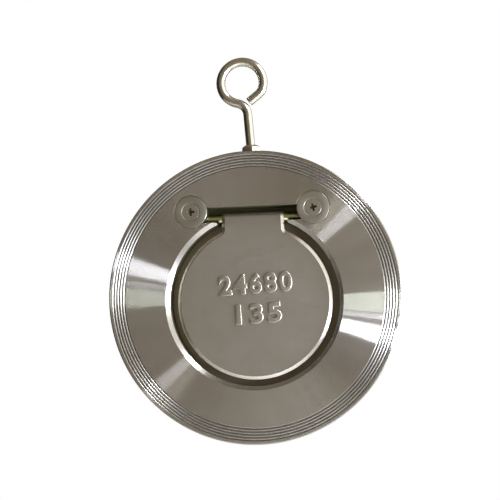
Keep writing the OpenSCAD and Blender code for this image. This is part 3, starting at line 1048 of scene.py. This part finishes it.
class VALVE_OT_eye(bpy.types.Operator):
    """Bend the lifting eye from wire, and thread its end"""
    bl_idname = "valve.make_eye"
    bl_label = "Lifting eye"

    def execute(self, context):
        valve = context.scene.valve
        s = valve.fasteners
        bm = bmesh.new()
        self.bend_wire(bm, s)
        self.add_threaded_end(bm, s)
        eye = make_object("lifting_eye", bm)
        smooth(eye, math.radians(40))
        steel = worked_stainless(
            "drawn_stainless_wire", tuple(valve.colours.wire), 0.24, 0.9 * MM, 0.02 * MM, (1, 1, 0.35), 0.7
        )
        settle(eye, [steel], BODY, "eye_wire", "eye_bolt")
        return {"FINISHED"}

    def bend_wire(self, bm, s):
        """Runs a round section up the shank, round the bends, and out along the cut end."""
        lean = math.radians(3.7)
        rise, offset, eye_r = 40.6 * MM, 1.6 * MM, 12 * MM
        neck_r, tail_r, tail_len = 7 * MM, 7 * MM, 6.8 * MM
        tail_start, tail_turn = math.radians(-20), math.radians(36)
        eye_c = (-offset, rise)
        neck_c = (-neck_r, rise - math.sqrt((neck_r + eye_r) ** 2 - (neck_r - offset) ** 2))
        neck_turn = math.atan2(eye_c[1] - neck_c[1], eye_c[0] - neck_c[0])
        tail_c = (
            eye_c[0] + (eye_r - tail_r) * math.cos(tail_start),
            eye_c[1] + (eye_r - tail_r) * math.sin(tail_start)
        )
        tail_way = tail_start - tail_turn
        left, right = -PIPE_AXIS, PIPE_AXIS
        bmesh.ops.create_circle(bm, cap_ends=True, segments=40, radius=s.wire_radius)
        ring = self.stretch(bm, bm.edges[:], Vector((0, 0, neck_c[1])), 12)
        ring = self.bend(bm, ring, neck_c, left, neck_turn, 18)
        ring = self.bend(bm, ring, eye_c, right, neck_turn + math.pi - tail_start, 96)
        ring = self.bend(bm, ring, tail_c, right, tail_turn, 14)
        tail = Vector((math.sin(tail_way), 0, -math.cos(tail_way))) * tail_len
        ring = self.stretch(bm, ring, tail, 6)
        cut = bmesh.ops.contextual_create(bm, geom=ring)["faces"]
        close_up(bm)
        bevel(bm, list(cut[0].edges), 0.25 * MM, 3)
        place = Matrix.Translation((0, 0, NUT_LOW.z)) @ Matrix.Rotation(-lean, 4, "Y")
        bmesh.ops.transform(bm, matrix=place, verts=bm.verts)

    def add_threaded_end(self, bm, s):
        """Adds the straight end that goes through the nut and into the rim, with its thread."""
        foot = (0, 0, NUT_LOW.z)
        depth = NUT_LOW.z - EYE_LOW.z
        core_r = s.thread_radius - 0.6 * s.thread_pitch
        point, core_top, thread_top = 0.4 * MM, 0.5 * MM, 4.3 * MM
        profile = [
            (0, -depth), (core_r - point, -depth), (core_r, -depth + point), (core_r, core_top),
            (0, core_top)
        ]
        core = turned_mesh(profile, 48, foot, UP)
        mesh = bpy.data.meshes.new("core")
        core.to_mesh(mesh)
        core.free()
        bm.from_mesh(mesh)
        bpy.data.meshes.remove(mesh)
        add_thread(bm, foot, UP, s.thread_radius, s.thread_pitch, 0.3 * MM - depth, thread_top)

    def stretch(self, bm, ring, way, steps):
        """Extrudes the open ring of edges along a straight way."""
        for _ in range(steps):
            made = bmesh.ops.extrude_edge_only(bm, edges=ring)
            bmesh.ops.translate(bm, vec=way / steps, verts=new_verts(made))
            ring = only(bmesh.types.BMEdge, made["geom"])
        return ring

    def bend(self, bm, ring, centre, axis, angle, steps):
        """Spins the open ring of edges round a bend's centre, which is (x, z) from the shank's foot."""
        made = spin(bm, ring, (centre[0], 0, centre[1]), axis, angle, steps)
        return only(bmesh.types.BMEdge, made["geom_last"])


class VALVE_OT_nut(bpy.types.Operator):
    """Form the hexagon nut that locks the eye"""
    bl_idname = "valve.make_nut"
    bl_label = "Lock nut"

    def execute(self, context):
        valve = context.scene.valve
        s = valve.fasteners
        low, high = NUT_LOW.z, NUT_HIGH.z
        corner = s.nut_flats / 2 / math.cos(math.pi / 6)
        turn = Matrix.Rotation(math.radians(10), 3, "Z")
        bm = bmesh.new()
        bmesh.ops.create_cone(
            bm, cap_ends=True, segments=6, radius1=corner, radius2=corner, depth=high - low
        )
        bmesh.ops.rotate(bm, verts=bm.verts, cent=(0, 0, 0), matrix=turn)
        bmesh.ops.translate(bm, vec=(0, 0, (low + high) / 2), verts=bm.verts)
        upright = [e for e in bm.edges if abs(e.verts[0].co.z - e.verts[1].co.z) > 1 * MM]
        bevel(bm, upright, 0.3 * MM, 3)
        nut = make_object("eye_lock_nut", bm)
        carve(nut, [self.crown(s, corner + PAST, low, high)], "INTERSECT")
        carve(nut, [self.bore(low, high)])
        smooth(nut, math.radians(30))
        steel = worked_stainless(
            "formed_nut_stainless", tuple(valve.colours.nut), 0.33, 0.8 * MM, 0.03 * MM
        )
        settle(nut, [steel], BODY, "nut_steel", "eye_bolt_nut")
        return {"FINISHED"}

    def crown(self, s, radius, low, high):
        """What the nut is trimmed to: a cylinder whose top slopes off at 40 degrees."""
        flat_r = s.nut_flats / 2 * 0.7
        slope = math.tan(math.radians(40))
        shell = turned_mesh(
            [(0, low - PAST), (radius, low - PAST), (radius, high - (radius - flat_r) * slope),
             (flat_r, high), (0, high)],
            96, axis=UP
        )
        bevel(shell, sharp_edges(shell, 20, lambda e: e.verts[0].co.z > low), 0.35 * MM, 3)
        return make_object("crown", shell)

    def bore(self, low, high):
        """The cutter of the nut's hole, a little wider at the foot."""
        hole_r = 3.05 * MM
        profile = [
            (0, low - PAST), (hole_r + 0.5 * MM, low - 0.5 * MM), (hole_r, low + 0.2 * MM),
            (hole_r, high + PAST), (0, high + PAST)
        ]
        return make_object("bore", turned_mesh(profile, 64, axis=UP))


# ----------------------------------------------------------------------- stage

FLOOR_RADIUS = 1.15
FLOOR_HEIGHT = -0.45
# the camera: the point it looks at, where it stands from there, its tilt and its lens
AIM = Vector((-2.36, 0.0, 26.41)) * MM
AZIMUTH = math.radians(5.91)
ELEVATION = math.radians(-4.99)
ROLL = math.radians(1.66)
DISTANCE = 738 * MM
SENSOR = 36.0
FOCAL = 2.6452 * SENSOR


class VALVE_OT_stage(bpy.types.Operator):
    """Set the floor, the studio lights, the surroundings and the camera"""
    bl_idname = "valve.make_stage"
    bl_label = "Stage"

    def execute(self, context):
        valve = context.scene.valve
        self.camera(context)
        self.floor(valve)
        self.lights()
        self.surroundings(context)
        context.scene.view_settings.view_transform = "Standard"
        return {"FINISHED"}

    def camera(self, context):
        """A long lens that looks along the pipe from a little to the right and below."""
        back = Vector((
            math.sin(AZIMUTH) * math.cos(ELEVATION), -math.cos(AZIMUTH) * math.cos(ELEVATION),
            math.sin(ELEVATION)
        ))
        right = Vector((math.cos(AZIMUTH), math.sin(AZIMUTH), 0))
        top = back.cross(right)
        across = right * math.cos(ROLL) - top * math.sin(ROLL)
        upward = right * math.sin(ROLL) + top * math.cos(ROLL)
        data = bpy.data.cameras.new("camera")
        data.lens = FOCAL
        data.sensor_width = SENSOR
        data.clip_start = 10 * MM
        camera = bpy.data.objects.new("camera", data)
        turn = Matrix((across, upward, back)).transposed().to_4x4()
        camera.matrix_world = Matrix.Translation(AIM + back * DISTANCE) @ turn
        context.scene.collection.objects.link(camera)
        context.scene.camera = camera

    def floor(self, valve):
        """A pale disc, low enough not to light the valve from below."""
        bm = bmesh.new()
        bmesh.ops.create_circle(bm, cap_ends=True, segments=128, radius=FLOOR_RADIUS)
        bmesh.ops.translate(bm, vec=(0, 0, FLOOR_HEIGHT), verts=bm.verts)
        floor = make_object("studio_floor", bm)
        material, tree = new_material("pale_matt_floor")
        matt = add_node(
            tree, "BsdfPrincipled", {"Base Color": shade(valve.colours.floor), "Roughness": 0.75}
        )
        add_node(tree, "OutputMaterial", {"Surface": matt})
        floor.data.materials.append(material)

    def lights(self):
        """Lamps that face the valve's axis from the side, so that each gives one pair of fans.

        Name, clock angle from the top, angle it spans, distance from the axis, near and far
        end along the pipe, power, colour.
        """
        lamps = [
            ("window_low", 106.3, 8.6, 0.50, -0.52, -0.02, 10.0, "#eef3ff"),
            ("window_bar", 97.9, 2.6, 0.50, -0.38, -0.02, 1.5, "#eef3ff"),
            ("window_high", 90.4, 10.4, 0.50, -0.38, -0.02, 5.0, "#e6f2ec"),
            ("roof_light", 43.3, 6.6, 1.00, -0.45, -0.15, 10.0, "#f2f6ff"),
            ("roof_light_dim", 36.6, 5.6, 1.00, -0.45, -0.15, 2.2, "#f4f6ee"),
            ("pale_wall", 62.0, 66.0, 0.80, -1.20, 0.60, 9.5, "#fffdf8"),
        ]
        for lamp in lamps:
            self.lamp(*lamp)

    def lamp(self, name, clock, span, distance, near, far, power, code):
        """One area lamp that looks at the pipe axis from a clock angle."""
        data = bpy.data.lights.new(name, "AREA")
        data.shape = "RECTANGLE"
        data.size = far - near
        data.size_y = 2 * distance * math.tan(math.radians(span) / 2)
        data.energy = power
        data.color = linear(code)
        lamp = bpy.data.objects.new(name, data)
        lamp.visible_camera = False
        angle = math.radians(clock)
        out = Vector((math.sin(angle), 0, math.cos(angle)))
        turn = Matrix((PIPE_AXIS, out.cross(PIPE_AXIS), out)).transposed().to_4x4()
        centre = out * distance + PIPE_AXIS * (near + far) / 2
        lamp.matrix_world = Matrix.Translation(centre) @ turn
        bpy.context.scene.collection.objects.link(lamp)

    def surroundings(self, context):
        """A dim warm room for the metal to mirror, behind a plain white backdrop."""
        world = bpy.data.worlds.new("studio")
        context.scene.world = world
        world.use_nodes = True
        tree = world.node_tree
        tree.nodes.clear()
        way = add_node(tree, "TexCoord", {}, output="Generated")
        sideways = add_node(tree, "SeparateXYZ", {"Vector": way}, output="X")
        # the room is darker towards the left
        lit = add_node(
            tree, "MapRange", {"Value": sideways, "From Min": -0.85, "From Max": -0.3},
            interpolation_type="SMOOTHSTEP"
        )
        walls = add_node(
            tree, "Mix", {0: lit, 6: shade(linear("#3b3731")), 7: shade(linear("#998c79"))},
            output=2, data_type="RGBA"
        )
        room = add_node(tree, "Background", {"Color": walls})
        backdrop = add_node(tree, "Background", {"Color": (1, 1, 1, 1)})
        seen = add_node(tree, "LightPath", {}, output="Is Camera Ray")
        both = add_node(tree, "MixShader", {0: seen, 1: room, 2: backdrop})
        add_node(tree, "OutputWorld", {"Surface": both})


class VALVE_PT_panel(bpy.types.Panel):
    """Builds the valve piece by piece"""
    bl_label = "Wafer check valve"
    bl_idname = "VALVE_PT_panel"
    bl_space_type = "VIEW_3D"
    bl_region_type = "UI"
    bl_category = "Valve"

    def draw(self, context):
        for operator in MAKERS:
            self.layout.operator(operator.bl_idname)
        valve = context.scene.valve
        for group in (valve.ring, valve.flap, valve.fasteners, valve.colours):
            box = self.layout.box()
            for name in group.__annotations__:
                box.prop(group, name)


MAKERS = (
    VALVE_OT_ring, VALVE_OT_flap, VALVE_OT_hinge, VALVE_OT_seal, VALVE_OT_caps, VALVE_OT_screws,
    VALVE_OT_eye, VALVE_OT_nut, VALVE_OT_stage
)
CLASSES = (
    RingSizes, FlapSizes, FastenerSizes, FinishColours, ValveSettings, *MAKERS, VALVE_PT_panel
)


def register():
    for cls in CLASSES:
        bpy.utils.register_class(cls)
    bpy.types.Scene.valve = PointerProperty(type=ValveSettings)


def unregister():
    del bpy.types.Scene.valve
    for cls in reversed(CLASSES):
        bpy.utils.unregister_class(cls)


def main():
    register()
    bpy.ops.valve.make_ring()
    bpy.ops.valve.make_flap()
    bpy.ops.valve.make_pin()
    bpy.ops.valve.make_seal()
    bpy.ops.valve.make_caps()
    bpy.ops.valve.make_screws()
    bpy.ops.valve.make_eye()
    bpy.ops.valve.make_nut()
    bpy.ops.valve.make_stage()


if __name__ == "__main__":
    main()
